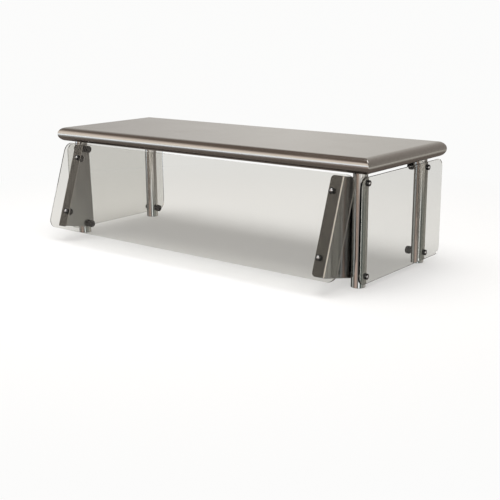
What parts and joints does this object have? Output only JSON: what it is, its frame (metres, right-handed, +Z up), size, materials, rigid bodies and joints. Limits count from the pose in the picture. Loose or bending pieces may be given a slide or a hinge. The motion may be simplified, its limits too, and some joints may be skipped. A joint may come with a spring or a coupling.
{
  "type": "sneeze guard",
  "caption": "Counter-mounted sneeze guard: rolled-edge steel shelf on round posts, with clamped end glass and a sloping front glass on folded brackets.",
  "frame": {"origin": "on the counter, at the centre of the four post feet", "axes": "+X along the counter to the guest's right, +Y from the guest's side to the server's side, +Z up"},
  "size_m": [1.232, 0.5684, 0.366],
  "materials": {
    "shelf_steel": "satin, fine lengthwise brushing",
    "plain_steel": "mill finish",
    "post_chrome": "polished tube",
    "bracket_steel": "satin, brushed down the slope",
    "clear_glass": "clear toughened glass with polished edges",
    "bolt_chrome": "polished",
    "black_rubber": "matt",
    "clear_nylon": "natural nylon",
    "knob_black": "moulded, satin",
    "insert_brass": "turned"
  },
  "bodies": {
    "guard": {"shelf_pan": "shelf_steel", "shelf_channel_left": "plain_steel", "shelf_channel_right": "plain_steel", "shelf_stiffener": "plain_steel", "post_left_front": "post_chrome", "post_left_rear": "post_chrome", "post_right_front": "post_chrome", "post_right_rear": "post_chrome", "post_foot_plugs": "plain_steel", "post_top_plugs": "plain_steel", "shelf_bolts": "plain_steel", "shelf_bolt_washers": "plain_steel", "end_glass_left": "clear_glass", "end_glass_right": "clear_glass", "front_glass": "clear_glass", "bracket_left": "bracket_steel", "bracket_right": "bracket_steel", "end_glass_bolts": "bolt_chrome", "end_glass_head_washers": "black_rubber", "end_glass_saddles": "black_rubber", "bracket_saddles": "black_rubber", "rear_knob_saddles": "black_rubber", "end_glass_sleeves": "clear_nylon", "front_glass_bolts": "bolt_chrome", "front_glass_head_washers": "black_rubber", "front_glass_pads": "black_rubber", "front_glass_sleeves": "clear_nylon"},
    "knob_left_front_upper_turning": {"knob_left_front_upper": "knob_black", "insert_left_front_upper": "insert_brass"},
    "knob_left_front_lower_turning": {"knob_left_front_lower": "knob_black", "insert_left_front_lower": "insert_brass"},
    "knob_left_rear_upper_turning": {"knob_left_rear_upper": "knob_black", "insert_left_rear_upper": "insert_brass"},
    "knob_left_rear_lower_turning": {"knob_left_rear_lower": "knob_black", "insert_left_rear_lower": "insert_brass"},
    "knob_right_front_upper_turning": {"knob_right_front_upper": "knob_black", "insert_right_front_upper": "insert_brass"},
    "knob_right_front_lower_turning": {"knob_right_front_lower": "knob_black", "insert_right_front_lower": "insert_brass"},
    "knob_right_rear_upper_turning": {"knob_right_rear_upper": "knob_black", "insert_right_rear_upper": "insert_brass"},
    "knob_right_rear_lower_turning": {"knob_right_rear_lower": "knob_black", "insert_right_rear_lower": "insert_brass"},
    "glass_knob_left_upper_turning": {"glass_knob_left_upper": "knob_black", "glass_insert_left_upper": "insert_brass"},
    "glass_knob_left_lower_turning": {"glass_knob_left_lower": "knob_black", "glass_insert_left_lower": "insert_brass"},
    "glass_knob_right_upper_turning": {"glass_knob_right_upper": "knob_black", "glass_insert_right_upper": "insert_brass"},
    "glass_knob_right_lower_turning": {"glass_knob_right_lower": "knob_black", "glass_insert_right_lower": "insert_brass"}
  },
  "joints": [
    {"name": "turn_knob_left_front_upper", "type": "hinge", "parent": "guard", "child": "knob_left_front_upper_turning", "pos_m": [-0.5347, -0.167, 0.292], "axis": [1, 0, 0], "continuous": true},
    {"name": "turn_knob_left_front_lower", "type": "hinge", "parent": "guard", "child": "knob_left_front_lower_turning", "pos_m": [-0.5347, -0.167, 0.033], "axis": [1, 0, 0], "continuous": true},
    {"name": "turn_knob_left_rear_upper", "type": "hinge", "parent": "guard", "child": "knob_left_rear_upper_turning", "pos_m": [-0.5367, 0.167, 0.292], "axis": [1, 0, 0], "continuous": true},
    {"name": "turn_knob_left_rear_lower", "type": "hinge", "parent": "guard", "child": "knob_left_rear_lower_turning", "pos_m": [-0.5367, 0.167, 0.033], "axis": [1, 0, 0], "continuous": true},
    {"name": "turn_knob_right_front_upper", "type": "hinge", "parent": "guard", "child": "knob_right_front_upper_turning", "pos_m": [0.5347, -0.167, 0.292], "axis": [-1, 0, 0], "continuous": true},
    {"name": "turn_knob_right_front_lower", "type": "hinge", "parent": "guard", "child": "knob_right_front_lower_turning", "pos_m": [0.5347, -0.167, 0.033], "axis": [-1, 0, 0], "continuous": true},
    {"name": "turn_knob_right_rear_upper", "type": "hinge", "parent": "guard", "child": "knob_right_rear_upper_turning", "pos_m": [0.5367, 0.167, 0.292], "axis": [-1, 0, 0], "continuous": true},
    {"name": "turn_knob_right_rear_lower", "type": "hinge", "parent": "guard", "child": "knob_right_rear_lower_turning", "pos_m": [0.5367, 0.167, 0.033], "axis": [-1, 0, 0], "continuous": true},
    {"name": "turn_glass_knob_left_upper", "type": "hinge", "parent": "guard", "child": "glass_knob_left_upper_turning", "pos_m": [-0.51, -0.22482, 0.27159], "axis": [0, 0.9455, -0.3256], "continuous": true},
    {"name": "turn_glass_knob_left_lower", "type": "hinge", "parent": "guard", "child": "glass_knob_left_lower_turning", "pos_m": [-0.51, -0.28445, 0.09842], "axis": [0, 0.9455, -0.3256], "continuous": true},
    {"name": "turn_glass_knob_right_upper", "type": "hinge", "parent": "guard", "child": "glass_knob_right_upper_turning", "pos_m": [0.51, -0.22482, 0.27159], "axis": [0, 0.9455, -0.3256], "continuous": true},
    {"name": "turn_glass_knob_right_lower", "type": "hinge", "parent": "guard", "child": "glass_knob_right_lower_turning", "pos_m": [0.51, -0.28445, 0.09842], "axis": [0, 0.9455, -0.3256], "continuous": true}
  ]
}
